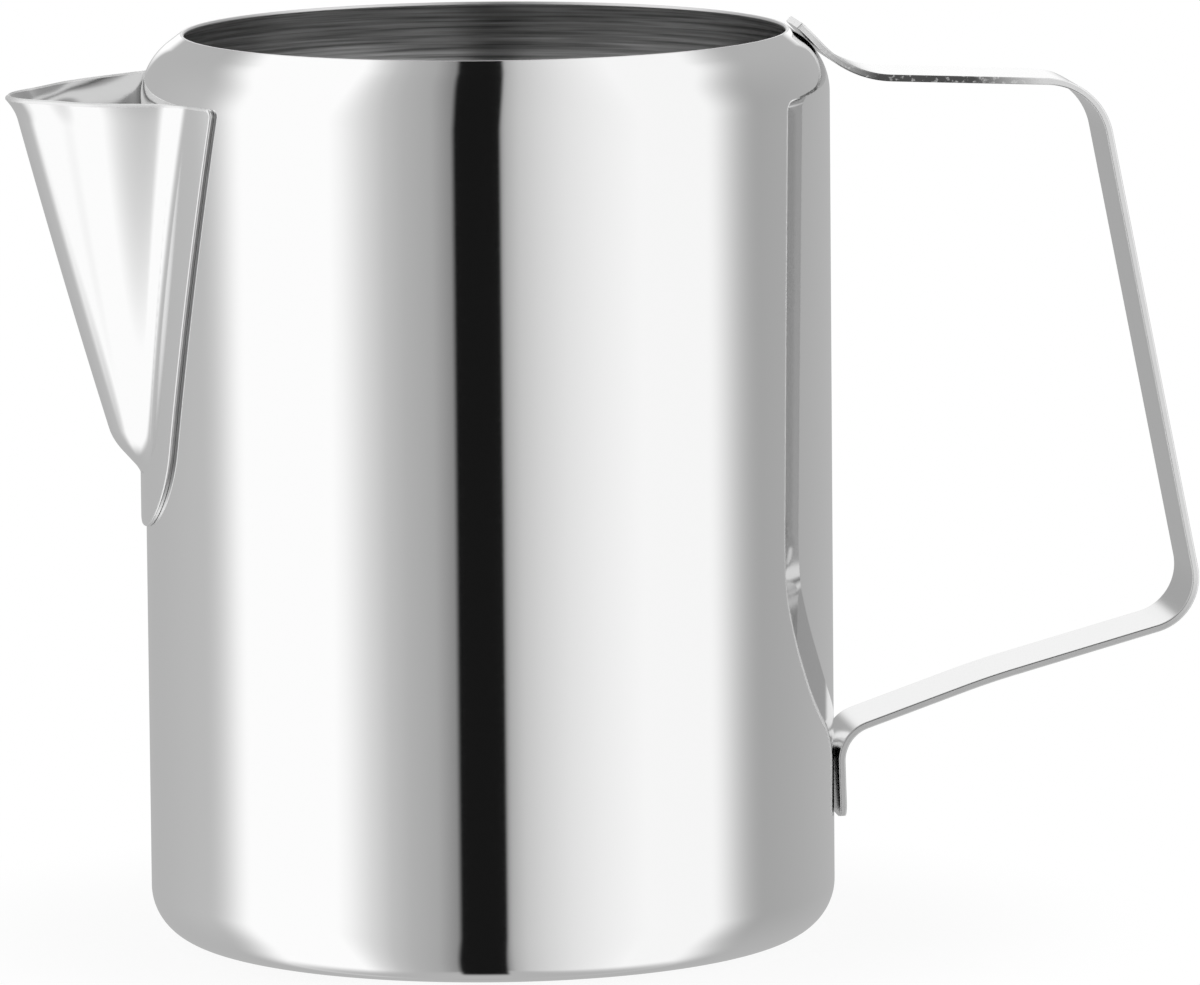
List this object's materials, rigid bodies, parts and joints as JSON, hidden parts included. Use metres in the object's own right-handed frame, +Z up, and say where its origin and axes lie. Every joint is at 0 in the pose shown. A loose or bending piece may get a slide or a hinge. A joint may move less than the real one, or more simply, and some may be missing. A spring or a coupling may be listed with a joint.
{
  "type": "milk jug",
  "caption": "Open round milk jug in polished stainless steel, with a drawn-in shoulder, a welded V-shaped spout and a bent flat strap handle.",
  "frame": {"origin": "centre of the flat ring that the jug stands on, in the plane of the table", "axes": "+Z up along the body's axis, +X towards the handle, -X towards the spout, +Y to the left of someone looking along +X"},
  "size_m": [0.172, 0.099, 0.1317],
  "materials": {
    "polished_steel": "mirror polished outside, finely brushed round inside",
    "spout_steel": "mirror polished outside, satin inside",
    "strap_steel": "polished faces, plain cut edges"
  },
  "bodies": {
    "root": {"body": "polished_steel", "spout": "spout_steel", "handle": "strap_steel"}
  },
  "joints": []
}
